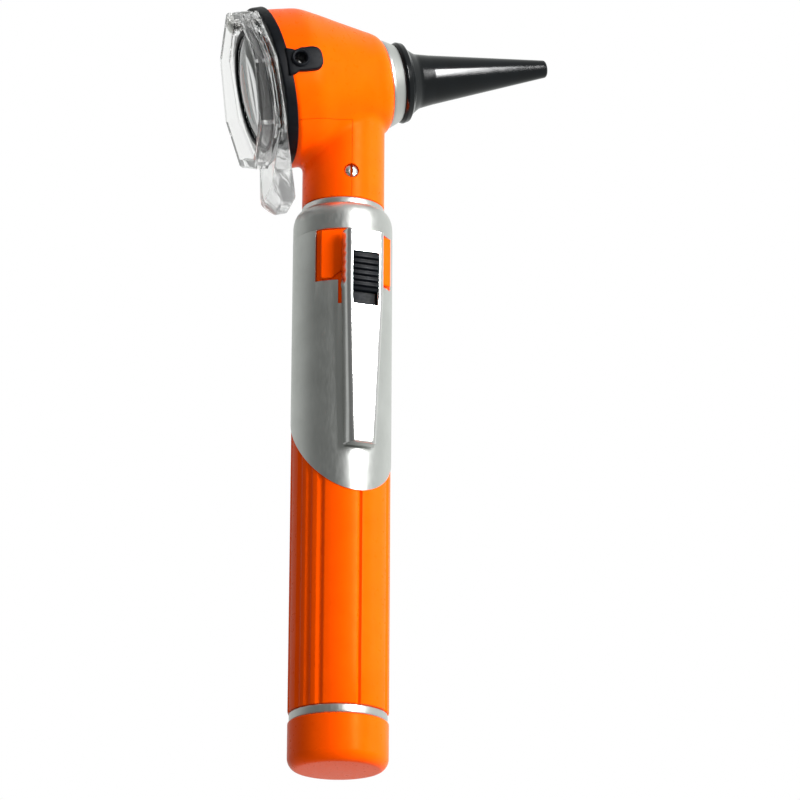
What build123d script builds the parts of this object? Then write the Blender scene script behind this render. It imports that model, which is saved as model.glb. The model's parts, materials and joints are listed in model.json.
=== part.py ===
from build123d import *
import math
import os

# Pocket otoscope: a two-cell handle with a screw-on head, a swing-aside magnifier and a push-on
# ear speculum. Units are millimetres. The origin is the centre of the end cap's flat base, +Z runs
# up the handle and +X is the side that the speculum points to.

os.makedirs("parts", exist_ok=True)

# --- Driving dimensions: handle -------------------------------------------------------------
handle_r = 10.0
cap_height = 9.4
cap_floor = 2.0
cap_edge_round = 1.9
thread_r = 8.1
thread_gap = 0.05
thread_bottom = 3.6
ring_top = 11.25
ring_r = 9.75
insert_r = 8.6
insert_top = 17.0
bore_r = 7.6
tube_top = 109.5
sleeve_r = 10.12
sleeve_inner_r = 9.7
grip_turn = 8.0
cut_height = 66.9
cut_slope = 1.225
flute_turn = 12.0
flute_steps = (46.2, 61.8, 77.4)
flute_side = 1.1
flute_centre_r = 10.3
flute_top = 85.0

# Window in the sleeve, and the orange saddle that fills it
window_half = 8.0
window_low = 98.4
slot_half = 4.2
slot_low = 93.4
saddle_gap = 0.25
pad_inner = 3.3
pad_outer = 7.5
pad_low = 98.75
pad_high = 109.0
pad_r = 10.45
pad_cut = 1.9
web_r = 9.9

# Collar at the top of the handle
collar_r = 10.1
collar_shoulder = 112.4
collar_top = 115.7
collar_top_r = 8.87
coupling_r = 6.9
coupling_gap = 0.05

# Pocket clip: a pressed channel, wider at its root than at its free end
clip_low = 63.4
clip_bend = 94.0
clip_high = 108.2
clip_face_r = 13.4
clip_edge_r = 10.55
clip_sheet = 0.6
clip_face_half = (2.3, 3.15)
clip_edge_half = (3.1, 3.4)
clip_foot_height = 1.6
clip_foot_r = 10.0
clip_slot_low = 92.3
clip_slot_high = 103.65
clip_slot_half = 2.5

# Slide switch
button_half = 2.4
button_low = 95.3
button_high = 103.5
button_base_r = 10.2
button_face_r = 13.45
rib_count = 6
rib_pitch = 1.2
rib_width = 0.6
rib_height = 0.45
stem_half = 1.5
stem_low = 97.0
stem_high = 102.0
switch_travel = 2.6

# Contacts and cells
strip_half = 1.7
strip_r = 7.9
strip_thick = 0.3
strip_top = 96.0
wiper_low = 94.0
wiper_high = 105.3
cell_r = 7.25
cell_body = 49.5
nub_r = 2.75
nub_height = 1.0
cell_bottom = 6.5
cell_gap = 0.05
cell_edge = 0.6
block_bottom = 107.7
pin_r = 1.5
pin_top = 112.0
contact_thick = 0.3
spring_wire_r = 0.3
spring_low_r = 5.6
spring_turns = 3.0
spring_cone = -28

# --- Driving dimensions: head ---------------------------------------------------------------
axis_height = 144.05
nose_tilt = 11.1
eye_tilt = 15.0
eye_back = -14.8
eye_lift = 1.7
neck_r = 8.4
neck_bottom = 117.0
insert_bottom = 111.5
neck_insert_top = 127.0
passage_r = 4.5
passage_top = 135.0
parting_drop = -10.3
shell_wall = 1.8

# Barrel sections: distance along the viewing axis, lift above it, radius
barrel_rear_r = 16.5
barrel_body = (
    (-12.0, 1.18, 16.38),
    (-8.7, 1.20, 16.10),
    (-5.0, 1.05, 14.85),
    (0.0, 0.60, 13.00),
    (5.0, 0.12, 11.22),
)
barrel_front = (
    (5.0, 0.12, 11.22),
    (7.2, 0.0, 10.30),
    (8.2, 0.0, 9.20),
)
cavity_front = 4.2
cavity_front_r = 9.7
front_bore_r = 7.9

# Rear plate and its insufflation port
plate_r = 16.7
plate_thick = 2.3
plate_window_r = 11.4
tab_front = -8.1
tab_rear = -14.0
tab_low = -2.1
tab_high = 3.4
tab_face_r = 17.2
tab_root = 13.4
tab_round = 1.2
port_along = -12.6
port_lift = 1.0
port_r = 1.3
port_boss_r = 2.0
port_boss_face = 17.6

# Magnifier frame
frame_gap = 0.3
flange_thick = 1.8
octagon_r = 17.3
wall_r = 17.0
rim_r = 16.6
rim_lift = 1.6
rim_face = -21.0
rim_wall = 1.5
lens_seat_r = 12.4
lens_clear_r = 11.4
lens_lip = 0.45
lens_edge = 1.0
lens_crown = 1.6
lens_gap = 0.05
tab_end = -26.0
tab_end_half = 4.7
tab_root_half = 11.9
pivot_lift = 14.9
pivot_r = 1.05
pivot_gap = 0.05
pivot_boss_r = 2.3
pivot_boss_back = 5.2
pivot_head_r = 1.8
pivot_head = 0.9

# Nose, light guide and speculum, as distances along the viewing axis and radii
nose_rear = 8.2
nose_front = 11.0
nose_rear_r = 9.1
nose_front_r = 8.05
skirt_rear = 4.25
skirt_bore_r = 6.6
spigot_rear_r = 5.2
spigot_front_r = 2.9
spigot_front = 27.0
spigot_wall = 0.45
guide_wall = 0.4
guide_gap = 0.03
guide_flange_rear = 2.9
guide_flange_front = 4.1
guide_flange_r = 9.4
tunnel_rear = -13.0
tunnel_rear_r = 10.3
tunnel_front = 2.6
tunnel_front_r = 6.3
tunnel_wall = 0.65
baffle_rear = -10.4
baffle_front = -9.6
baffle_r = 13.0
speculum_rear = 11.15
speculum_flange = 12.6
speculum_flange_r = 8.25
speculum_neck = 15.2
speculum_neck_r = 5.5
speculum_tip = 43.9
speculum_tip_r = 1.65
speculum_bore_rear_r = 5.45
speculum_bore_mid_r = 3.15
speculum_bore_tip_r = 1.25

# Lamp and light path in the neck
lamp_bore_r = 4.6
lamp_bore_top = 122.0
holder_r = 4.55
holder_low = 113.0
holder_high = 118.0
lamp_base_r = 3.0
lamp_low = 112.6
lamp_shoulder = 117.6
bulb_r = 2.6
bulb_top = 121.4
lamp_tip_r = 1.2
lamp_tip_low = 112.1
bundle_r = 1.1
bundle_bottom = 123.4
bundle_end_along = 2.85
bundle_end_lift = -8.25
screw_height = 122.7
screw_r = 1.3
screw_face = 8.2
screw_end = 5.4

# --- Reference directions and planes --------------------------------------------------------
grip = math.radians(grip_turn)
nose = math.radians(nose_tilt)
eye = math.radians(eye_tilt)
nose_dir = Vector(math.cos(nose), 0, math.sin(nose))
nose_up = Vector(-math.sin(nose), 0, math.cos(nose))
eye_dir = Vector(math.cos(eye), 0, math.sin(eye))
eye_up = Vector(-math.sin(eye), 0, math.cos(eye))
axis_point = Vector(0, 0, axis_height)
eye_centre = axis_point + nose_dir * eye_back + nose_up * eye_lift
clip_dir = Vector(math.sin(grip), -math.cos(grip), 0)
clip_side = Vector(math.cos(grip), math.sin(grip), 0)
nose_axis = Axis(origin=axis_point, direction=nose_dir)
eye_axis = Axis(origin=eye_centre, direction=eye_dir)


def nose_plane(along, lift=0.0):
    """Plane across the viewing axis: x is +Y, y is up, z points to the speculum."""
    return Plane(origin=axis_point + nose_dir * along + nose_up * lift, x_dir=(0, 1, 0), z_dir=nose_dir)


def eye_plane(along=0.0, lift=0.0):
    """Plane parallel to the rear plate's front face, measured towards the speculum."""
    return Plane(origin=eye_centre + eye_dir * along + eye_up * lift, x_dir=(0, 1, 0), z_dir=eye_dir)


def clip_plane(radius):
    """Upright plane that faces the clip's side of the handle: x runs round it, y is +Z."""
    return Plane(origin=clip_dir * radius, x_dir=clip_side, z_dir=clip_dir)


# Sections that hold an axis: x along it, y upward across it
nose_section = Plane(origin=axis_point, x_dir=nose_dir, z_dir=(0, -1, 0))
eye_section = Plane(origin=eye_centre, x_dir=eye_dir, z_dir=(0, -1, 0))
cut_plane = Plane(
    origin=(0, 0, cut_height),
    z_dir=(cut_slope * clip_dir.X, cut_slope * clip_dir.Y, 1),
)


def finish(piece, label):
    """Name a finished piece and write it out."""
    piece.part.label = label
    export_step(piece.part, f"parts/{label}.step")


# --- Handle: end cap with its contact and spring --------------------------------------------
with BuildPart() as end_cap:
    with BuildSketch(Plane.XY):
        Circle(handle_r)
    extrude(amount=cap_height)
    fillet(end_cap.faces().sort_by(Axis.Z)[0].edges(), cap_edge_round)
    with BuildSketch(Plane.XY.offset(cap_floor)):
        Circle(thread_r + thread_gap)
    extrude(amount=cap_height, mode=Mode.SUBTRACT)
finish(end_cap, "end_cap")

with BuildPart() as cap_contact:
    with BuildSketch(Plane.XY.offset(cap_floor)):
        Circle(thread_r - 0.4)
    extrude(amount=contact_thick)
finish(cap_contact, "cap_contact")

spring_bottom = cap_floor + contact_thick + spring_wire_r
spring_rise = cell_bottom - cell_gap - spring_wire_r - spring_bottom
with BuildPart() as cap_spring:
    with BuildLine(Plane.XY.offset(spring_bottom)) as spring_path:
        Helix(spring_rise / spring_turns, spring_rise, spring_low_r, cone_angle=spring_cone)
    with BuildSketch(Plane(origin=spring_path.line @ 0, z_dir=spring_path.line % 0)):
        Circle(spring_wire_r)
    sweep(is_frenet=True)
finish(cap_spring, "cap_spring")

with BuildPart() as lower_ring:
    with BuildSketch(Plane.XY.offset(thread_bottom)):
        Circle(thread_r)
    extrude(amount=cap_height - thread_bottom)
    with BuildSketch(Plane.XY.offset(cap_height)):
        Circle(ring_r)
    extrude(amount=ring_top - cap_height)
    with BuildSketch(Plane.XY.offset(ring_top)):
        Circle(insert_r)
    extrude(amount=insert_top - ring_top)
    with BuildSketch(Plane.XY):
        Circle(bore_r)
    extrude(amount=insert_top, mode=Mode.SUBTRACT)
finish(lower_ring, "lower_ring")

# --- Handle: tube, sleeve, saddle and collar ------------------------------------------------
with BuildPart() as sleeve_space:
    with BuildSketch(Plane.XY.offset(cut_height - 20)):
        Circle(handle_r + 1)
        Circle(sleeve_inner_r - 0.05, mode=Mode.SUBTRACT)
    extrude(amount=tube_top - cut_height + 20)
    split(bisect_by=cut_plane, keep=Keep.TOP)

flute_line = -90 + flute_turn
flute_angles = [flute_line, flute_line + 180]
for flute_step in flute_steps:
    for flute_base in (flute_line, flute_line + 180):
        flute_angles.append(flute_base + flute_step)
        flute_angles.append(flute_base - flute_step)

with BuildPart() as handle_tube:
    with BuildSketch(Plane.XY.offset(ring_top)):
        Circle(handle_r)
    extrude(amount=tube_top - ring_top)
    with BuildSketch(Plane.XY.offset(ring_top)):
        for flute_angle in flute_angles:
            with PolarLocations(flute_centre_r, 1, start_angle=flute_angle):
                Rectangle(flute_side, flute_side, rotation=45)
    extrude(amount=flute_top - ring_top, mode=Mode.SUBTRACT)
    add(sleeve_space.part, mode=Mode.SUBTRACT)
    with BuildSketch(Plane.XY.offset(ring_top)):
        Circle(bore_r)
    extrude(amount=tube_top, mode=Mode.SUBTRACT)
    with BuildSketch(Plane.XY.offset(ring_top)):
        Circle(insert_r)
    extrude(amount=insert_top + 0.2 - ring_top, mode=Mode.SUBTRACT)
    with BuildSketch(clip_plane(bore_r - 0.6)):
        with Locations((0, (insert_top + strip_top) / 2)):
            Rectangle(2 * strip_half + 0.3, strip_top - insert_top + 0.6)
    extrude(amount=strip_r + strip_thick + 0.2 - bore_r + 0.6, mode=Mode.SUBTRACT)
    with BuildSketch(clip_plane(bore_r - 0.6)):
        with Locations((0, (wiper_low + wiper_high - switch_travel) / 2)):
            Rectangle(2 * stem_half + 2.0, wiper_high - wiper_low + switch_travel + 0.4)
    extrude(amount=4, mode=Mode.SUBTRACT)
finish(handle_tube, "handle_tube")

with BuildPart() as handle_sleeve:
    with BuildSketch(Plane.XY.offset(cut_height - 20)):
        Circle(sleeve_r)
        Circle(sleeve_inner_r, mode=Mode.SUBTRACT)
    extrude(amount=tube_top - cut_height + 20)
    split(bisect_by=cut_plane, keep=Keep.TOP)
    with BuildSketch(clip_plane(3.0)):
        with Locations((0, (window_low + tube_top + 1) / 2)):
            Rectangle(2 * window_half, tube_top + 1 - window_low)
        with Locations((0, (slot_low + window_low + 1) / 2)):
            Rectangle(2 * slot_half, window_low + 1 - slot_low)
    extrude(amount=handle_r, mode=Mode.SUBTRACT)
finish(handle_sleeve, "handle_sleeve")

with BuildPart() as saddle_pads:
    with BuildSketch(Plane.XY.offset(pad_low)):
        Circle(pad_r)
        Circle(web_r - 0.1, mode=Mode.SUBTRACT)
    extrude(amount=pad_high - pad_low)
    with BuildSketch(clip_plane(3.0)):
        with BuildLine():
            Polyline(
                (pad_inner + pad_cut, pad_low),
                (pad_outer, pad_low),
                (pad_outer, pad_high),
                (pad_inner, pad_high),
                (pad_inner, pad_low + pad_cut),
                close=True,
            )
        make_face()
        mirror(about=Plane.YZ)
    extrude(amount=handle_r, mode=Mode.INTERSECT)

with BuildPart() as switch_saddle:
    with BuildSketch(Plane.XY.offset(slot_low + saddle_gap)):
        Circle(web_r)
        Circle(sleeve_inner_r - 0.05, mode=Mode.SUBTRACT)
    extrude(amount=tube_top - slot_low - 2 * saddle_gap)
    with BuildSketch(clip_plane(3.0)):
        with Locations((0, (window_low + saddle_gap + tube_top) / 2)):
            Rectangle(2 * (window_half - saddle_gap), tube_top - window_low - saddle_gap)
        with Locations((0, (slot_low + window_low + 1) / 2)):
            Rectangle(2 * (slot_half - saddle_gap), window_low + 1 - slot_low)
    extrude(amount=handle_r, mode=Mode.INTERSECT)
    add(saddle_pads.part)
    with BuildSketch(clip_plane(3.0)):
        with Locations((0, (stem_low + stem_high - switch_travel) / 2)):
            Rectangle(2 * stem_half + 0.3, stem_high - stem_low + switch_travel + 0.4)
    extrude(amount=handle_r, mode=Mode.SUBTRACT)
finish(switch_saddle, "switch_saddle")

with BuildPart() as collar:
    with BuildSketch(Plane.XZ):
        with BuildLine():
            Line((coupling_r + coupling_gap, tube_top), (collar_r, tube_top))
            Line((collar_r, tube_top), (collar_r, collar_shoulder))
            ThreePointArc(
                (collar_r, collar_shoulder),
                (collar_r - 0.32, collar_shoulder + 1.9),
                (collar_top_r, collar_top),
            )
            Line((collar_top_r, collar_top), (coupling_r + coupling_gap, collar_top))
            Line((coupling_r + coupling_gap, collar_top), (coupling_r + coupling_gap, tube_top))
        make_face()
    revolve(axis=Axis.Z)
finish(collar, "collar")

# --- Handle: pocket clip and switch ---------------------------------------------------------
with BuildPart() as clip_hollow:
    with BuildSketch(clip_plane(clip_face_r - clip_sheet)):
        with BuildLine():
            Polyline(
                (clip_face_half[0] - clip_sheet, clip_low + clip_sheet),
                (clip_face_half[1] - clip_sheet, clip_bend),
                (clip_face_half[1] - clip_sheet, clip_high - clip_foot_height),
                (clip_sheet - clip_face_half[1], clip_high - clip_foot_height),
                (clip_sheet - clip_face_half[1], clip_bend),
                (clip_sheet - clip_face_half[0], clip_low + clip_sheet),
                close=True,
            )
        make_face()
    with BuildSketch(clip_plane(clip_edge_r - 0.8)):
        with BuildLine():
            Polyline(
                (clip_edge_half[0] - clip_sheet, clip_low + clip_sheet),
                (clip_edge_half[1] - clip_sheet, clip_bend),
                (clip_edge_half[1] - clip_sheet, clip_high - clip_foot_height),
                (clip_sheet - clip_edge_half[1], clip_high - clip_foot_height),
                (clip_sheet - clip_edge_half[1], clip_bend),
                (clip_sheet - clip_edge_half[0], clip_low + clip_sheet),
                close=True,
            )
        make_face()
    loft(ruled=True)

with BuildPart() as clip:
    with BuildSketch(clip_plane(clip_face_r)):
        with BuildLine():
            Polyline(
                (clip_face_half[0], clip_low),
                (clip_face_half[1], clip_bend),
                (clip_face_half[1], clip_high),
                (-clip_face_half[1], clip_high),
                (-clip_face_half[1], clip_bend),
                (-clip_face_half[0], clip_low),
                close=True,
            )
        make_face()
    with BuildSketch(clip_plane(clip_edge_r)):
        with BuildLine():
            Polyline(
                (clip_edge_half[0], clip_low),
                (clip_edge_half[1], clip_bend),
                (clip_edge_half[1], clip_high),
                (-clip_edge_half[1], clip_high),
                (-clip_edge_half[1], clip_bend),
                (-clip_edge_half[0], clip_low),
                close=True,
            )
        make_face()
    loft(ruled=True)
    add(clip_hollow.part, mode=Mode.SUBTRACT)
    with BuildSketch(clip_plane(clip_foot_r)):
        with Locations((0, clip_high - clip_foot_height / 2)):
            Rectangle(4.4, clip_foot_height)
    extrude(amount=clip_edge_r - clip_foot_r + 0.4)
    with BuildSketch(clip_plane(clip_face_r - 2)):
        with Locations((0, (clip_slot_low + clip_slot_high) / 2)):
            Rectangle(2 * clip_slot_half, clip_slot_high - clip_slot_low)
    extrude(amount=4, mode=Mode.SUBTRACT)
finish(clip, "clip")

with BuildPart() as switch_button:
    with BuildSketch(clip_plane(button_base_r)):
        with Locations((0, (button_low + button_high) / 2)):
            Rectangle(2 * button_half, button_high - button_low)
    extrude(amount=button_face_r - button_base_r)
    with BuildSketch(clip_plane(button_face_r)):
        with Locations((0, (button_low + button_high) / 2)):
            with GridLocations(0, rib_pitch, 1, rib_count):
                Rectangle(2 * button_half, rib_width)
    extrude(amount=rib_height)
    with BuildSketch(clip_plane(strip_r + 2 * strip_thick + 0.1)):
        with Locations((0, (stem_low + stem_high) / 2)):
            Rectangle(2 * stem_half, stem_high - stem_low)
    extrude(amount=button_base_r - strip_r - 2 * strip_thick - 0.1)
finish(switch_button, "switch_button")

with BuildPart() as switch_wiper:
    with BuildSketch(clip_plane(strip_r + strip_thick + 0.05)):
        with Locations((0, (wiper_low + wiper_high) / 2)):
            Rectangle(2 * stem_half, wiper_high - wiper_low)
    extrude(amount=strip_thick)
finish(switch_wiper, "switch_wiper")

with BuildPart() as contact_strip:
    with BuildSketch(clip_plane(strip_r)):
        with Locations((0, (insert_top + 0.1 + strip_top) / 2)):
            Rectangle(2 * strip_half, strip_top - insert_top - 0.1)
    extrude(amount=strip_thick)
finish(contact_strip, "contact_strip")

# --- Handle: cells and upper contact --------------------------------------------------------
with BuildPart() as battery_lower:
    with BuildSketch(Plane.XY.offset(cell_bottom)):
        Circle(cell_r)
    extrude(amount=cell_body)
    fillet(battery_lower.edges().filter_by(GeomType.CIRCLE), cell_edge)
    with BuildSketch(Plane.XY.offset(cell_bottom + cell_body)):
        Circle(nub_r)
    extrude(amount=nub_height)
finish(battery_lower, "battery_lower")

upper_cell_bottom = cell_bottom + cell_body + nub_height + cell_gap
with BuildPart() as battery_upper:
    with BuildSketch(Plane.XY.offset(upper_cell_bottom)):
        Circle(cell_r)
    extrude(amount=cell_body)
    fillet(battery_upper.edges().filter_by(GeomType.CIRCLE), cell_edge)
    with BuildSketch(Plane.XY.offset(upper_cell_bottom + cell_body)):
        Circle(nub_r)
    extrude(amount=nub_height)
finish(battery_upper, "battery_upper")

with BuildPart() as contact_block:
    with BuildSketch(Plane.XY.offset(block_bottom)):
        Circle(bore_r)
        Circle(pin_r, mode=Mode.SUBTRACT)
    extrude(amount=tube_top - block_bottom)
finish(contact_block, "contact_block")

with BuildPart() as contact_pin:
    with BuildSketch(Plane.XY.offset(block_bottom - 0.1)):
        Circle(pin_r)
    extrude(amount=pin_top - block_bottom + 0.1)
finish(contact_pin, "contact_pin")

# --- Head: neck parts and lamp --------------------------------------------------------------
with BuildPart() as neck_ring:
    with BuildSketch(Plane.XY.offset(collar_top + 0.05)):
        Circle(neck_r + 0.1)
        Circle(coupling_r + coupling_gap, mode=Mode.SUBTRACT)
    extrude(amount=neck_bottom - collar_top - 0.1)
finish(neck_ring, "neck_ring")

with BuildPart() as neck_insert:
    with BuildSketch(Plane.XY.offset(insert_bottom)):
        Circle(coupling_r)
    extrude(amount=neck_insert_top - insert_bottom)
    with BuildSketch(Plane.XY.offset(insert_bottom)):
        Circle(lamp_bore_r)
    extrude(amount=lamp_bore_top - insert_bottom, mode=Mode.SUBTRACT)
    with BuildSketch(Plane.XY.offset(insert_bottom)):
        Circle(bundle_r + 0.05)
    extrude(amount=20, mode=Mode.SUBTRACT)
    with BuildSketch(Plane(origin=(0, -screw_end, screw_height), z_dir=(0, -1, 0))):
        Circle(screw_r)
    extrude(amount=5, mode=Mode.SUBTRACT)
finish(neck_insert, "neck_insert")

with BuildPart() as lamp_holder:
    with BuildSketch(Plane.XY.offset(holder_low)):
        Circle(holder_r)
        Circle(lamp_base_r, mode=Mode.SUBTRACT)
    extrude(amount=holder_high - holder_low)
finish(lamp_holder, "lamp_holder")

with BuildPart() as lamp_base:
    with BuildSketch(Plane.XY.offset(lamp_low)):
        Circle(lamp_base_r)
    extrude(amount=lamp_shoulder - lamp_low)
finish(lamp_base, "lamp_base")

with BuildPart() as lamp_bulb:
    with BuildSketch(Plane.XY.offset(lamp_shoulder)):
        Circle(bulb_r)
    extrude(amount=bulb_top - lamp_shoulder)
    fillet(lamp_bulb.faces().sort_by(Axis.Z)[-1].edges(), bulb_r - 0.4)
finish(lamp_bulb, "lamp_bulb")

with BuildPart() as lamp_contact:
    with BuildSketch(Plane.XY.offset(lamp_tip_low)):
        Circle(lamp_tip_r)
    extrude(amount=lamp_low - lamp_tip_low)
finish(lamp_contact, "lamp_contact")

# --- Head: barrel and neck shell, split into a front shell and a rear cover -----------------
with BuildPart() as head_cavity:
    with BuildSketch(nose_plane(-17.0, 1.6)):
        Circle(barrel_rear_r - shell_wall)
    for along, lift, radius in barrel_body[:-1]:
        with BuildSketch(nose_plane(along, lift)):
            Circle(radius - shell_wall)
    with BuildSketch(nose_plane(cavity_front)):
        Circle(cavity_front_r)
    loft(ruled=True)
    with BuildSketch(nose_plane(cavity_front - 0.5)):
        Circle(front_bore_r)
    extrude(amount=nose_front)
    with BuildSketch(Plane.XY.offset(neck_bottom - 5)):
        Circle(passage_r)
    extrude(amount=passage_top - neck_bottom + 5)
    with BuildSketch(Plane.XY.offset(neck_bottom - 5)):
        Circle(coupling_r)
    extrude(amount=neck_insert_top - neck_bottom + 5)
    with BuildSketch(Plane(origin=(0, -2, screw_height), z_dir=(0, -1, 0))):
        Circle(screw_r + 0.05)
    extrude(amount=10)
    with BuildSketch(nose_section.offset(tab_root - 3)):
        with Locations(((tab_front + tab_rear - 4) / 2, (tab_low + tab_high) / 2)):
            RectangleRounded(
                tab_front - tab_rear + 4.1,
                tab_high - tab_low + 0.1,
                tab_round,
            )
    extrude(amount=10)

with BuildPart() as head_form:
    with BuildSketch(eye_plane()):
        Circle(barrel_rear_r)
    for along, lift, radius in barrel_body:
        with BuildSketch(nose_plane(along, lift)):
            Circle(radius)
    loft()
    for along, lift, radius in barrel_front:
        with BuildSketch(nose_plane(along, lift)):
            Circle(radius)
    loft(ruled=True)
    with BuildSketch(Plane.XY.offset(neck_bottom)):
        Circle(neck_r)
    extrude(amount=axis_height - 6 - neck_bottom)
    add(head_cavity.part, mode=Mode.SUBTRACT)

parting_x = -parting_drop * math.sin(nose)
parting_start = axis_point + nose_up * parting_drop
parting_rear = parting_start - nose_dir * 40
parting_cross = parting_start - nose_dir * (parting_x / math.cos(nose))
with BuildPart() as cover_region:
    with BuildSketch(Plane.XZ.offset(-30)):
        with BuildLine():
            Polyline(
                (0, neck_bottom - 5),
                (0, parting_cross.Z),
                (parting_rear.X, parting_rear.Z),
                (parting_rear.X, neck_bottom - 5),
                close=True,
            )
        make_face()
    extrude(amount=60)

with BuildPart() as head_shell:
    add(head_form.part)
    add(cover_region.part, mode=Mode.SUBTRACT)
finish(head_shell, "head_shell")

with BuildPart() as head_rear_cover:
    add(head_form.part)
    add(cover_region.part, mode=Mode.INTERSECT)
finish(head_rear_cover, "head_rear_cover")

with BuildPart() as set_screw:
    with BuildSketch(Plane(origin=(0, -screw_end, screw_height), z_dir=(0, -1, 0))):
        Circle(screw_r)
    extrude(amount=screw_face - screw_end)
    with BuildSketch(Plane(origin=(0, -screw_face + 0.6, screw_height), z_dir=(0, -1, 0))):
        Rectangle(0.5, 4)
    extrude(amount=2, mode=Mode.SUBTRACT)
finish(set_screw, "set_screw")

# --- Head: rear plate with its port ---------------------------------------------------------
with BuildPart() as plate_tab:
    with BuildSketch(nose_section.offset(tab_root)):
        with Locations(((tab_front + tab_rear) / 2, (tab_low + tab_high) / 2)):
            RectangleRounded(tab_front - tab_rear, tab_high - tab_low, tab_round)
    extrude(amount=8)
    with BuildSketch(nose_section.offset(tab_root)):
        with Locations((tab_rear - 0.2, (tab_low + tab_high) / 2)):
            Rectangle(3.2, tab_high - tab_low)
    extrude(amount=8)
    with BuildSketch(nose_plane(-20, 1.2)):
        Circle(tab_face_r)
    extrude(amount=20, mode=Mode.INTERSECT)
    with BuildSketch(nose_section.offset(tab_face_r - 0.6)):
        with Locations((port_along, port_lift)):
            Circle(port_boss_r)
    extrude(amount=port_boss_face - tab_face_r + 0.6)

with BuildPart() as rear_plate:
    with BuildSketch(eye_plane(-plate_thick)):
        Circle(plate_r)
        Circle(plate_window_r, mode=Mode.SUBTRACT)
    extrude(amount=plate_thick)
    chamfer(rear_plate.faces().sort_by(eye_axis)[0].edges().sort_by(SortBy.LENGTH)[-1], 0.4)
    add(plate_tab.part)
    with BuildSketch(nose_section.offset(tab_root - 1)):
        with Locations((port_along, port_lift)):
            Circle(port_r)
    extrude(amount=10, mode=Mode.SUBTRACT)
    with BuildSketch(eye_plane(-plate_thick, pivot_lift)):
        Circle(pivot_r)
    extrude(amount=plate_thick, mode=Mode.SUBTRACT)
finish(rear_plate, "rear_plate")

# --- Head: nose, tunnel and light guide -----------------------------------------------------
with BuildPart() as nose_cone:
    with BuildSketch(nose_section):
        with BuildLine():
            Polyline(
                (skirt_rear, skirt_bore_r),
                (skirt_rear, front_bore_r),
                (nose_rear, front_bore_r),
                (nose_rear, nose_rear_r),
                (nose_front, nose_front_r),
                (nose_front, spigot_rear_r),
                (spigot_front, spigot_front_r),
                (spigot_front, spigot_front_r - spigot_wall),
                (nose_front, spigot_rear_r - spigot_wall),
                close=True,
            )
        make_face()
    revolve(axis=nose_axis)
finish(nose_cone, "nose_cone")

guide_skirt_r = skirt_bore_r - guide_gap
guide_mid_r = spigot_rear_r - spigot_wall - guide_gap
guide_end_r = spigot_front_r - spigot_wall - guide_gap
with BuildPart() as fibre_ring:
    with BuildSketch(nose_section):
        with BuildLine():
            Polyline(
                (guide_flange_rear, guide_skirt_r - guide_wall),
                (guide_flange_rear, guide_flange_r),
                (guide_flange_front, guide_flange_r),
                (guide_flange_front, guide_skirt_r),
                (skirt_rear, guide_skirt_r),
                (nose_front, guide_mid_r),
                (spigot_front, guide_end_r),
                (spigot_front, guide_end_r - guide_wall),
                (nose_front, guide_mid_r - guide_wall),
                (skirt_rear, guide_skirt_r - guide_wall),
                close=True,
            )
        make_face()
    revolve(axis=nose_axis)
finish(fibre_ring, "fibre_ring")

with BuildPart() as sight_tube:
    with BuildSketch(nose_section):
        with BuildLine():
            Polyline(
                (tunnel_rear, tunnel_rear_r),
                (tunnel_rear, tunnel_rear_r + tunnel_wall),
                (tunnel_front, tunnel_front_r + tunnel_wall),
                (tunnel_front, tunnel_front_r),
                close=True,
            )
        make_face()
        with BuildLine():
            Polyline(
                (baffle_rear, 10.0),
                (baffle_rear, baffle_r),
                (baffle_front, baffle_r),
                (baffle_front, 10.0),
                close=True,
            )
        make_face()
    revolve(axis=nose_axis)
    with BuildSketch(nose_section.offset(5)):
        with Locations((port_along, port_lift)):
            Circle(port_r + 0.5)
    extrude(amount=20, mode=Mode.SUBTRACT)
finish(sight_tube, "sight_tube")

with BuildPart() as insufflation_tube:
    with BuildSketch(nose_section.offset(10.3)):
        with Locations((port_along, port_lift)):
            Circle(port_r + 0.45)
            Circle(port_r - 0.3, mode=Mode.SUBTRACT)
    extrude(amount=tab_root - 10.3)
finish(insufflation_tube, "insufflation_tube")

bundle_end = axis_point + nose_dir * bundle_end_along + nose_up * bundle_end_lift
with BuildPart() as fibre_bundle:
    with BuildLine() as bundle_path:
        Spline(
            (0, 0, bundle_bottom),
            (bundle_end.X, 0, bundle_end.Z),
            tangents=((0, 0, 1), (nose_dir.X, 0, nose_dir.Z)),
        )
    with BuildSketch(Plane(origin=(0, 0, bundle_bottom), z_dir=(0, 0, 1))):
        Circle(bundle_r)
    sweep()
finish(fibre_bundle, "fibre_bundle")

# --- Magnifier: octagonal frame with a thumb tab, lens and ring -----------------------------
frame_front = -plate_thick - frame_gap
frame_back = frame_front - flange_thick
with BuildPart() as frame_rim:
    with BuildSketch(eye_plane(frame_back)):
        RegularPolygon(wall_r, 8)
    with BuildSketch(nose_plane(rim_face, rim_lift)):
        RegularPolygon(rim_r, 8)
    loft(ruled=True)

with BuildPart() as frame_well:
    with BuildSketch(eye_plane(frame_back)):
        RegularPolygon(wall_r - rim_wall, 8)
    with BuildSketch(nose_plane(rim_face, rim_lift)):
        RegularPolygon(rim_r - rim_wall, 8)
    loft(ruled=True)

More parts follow.
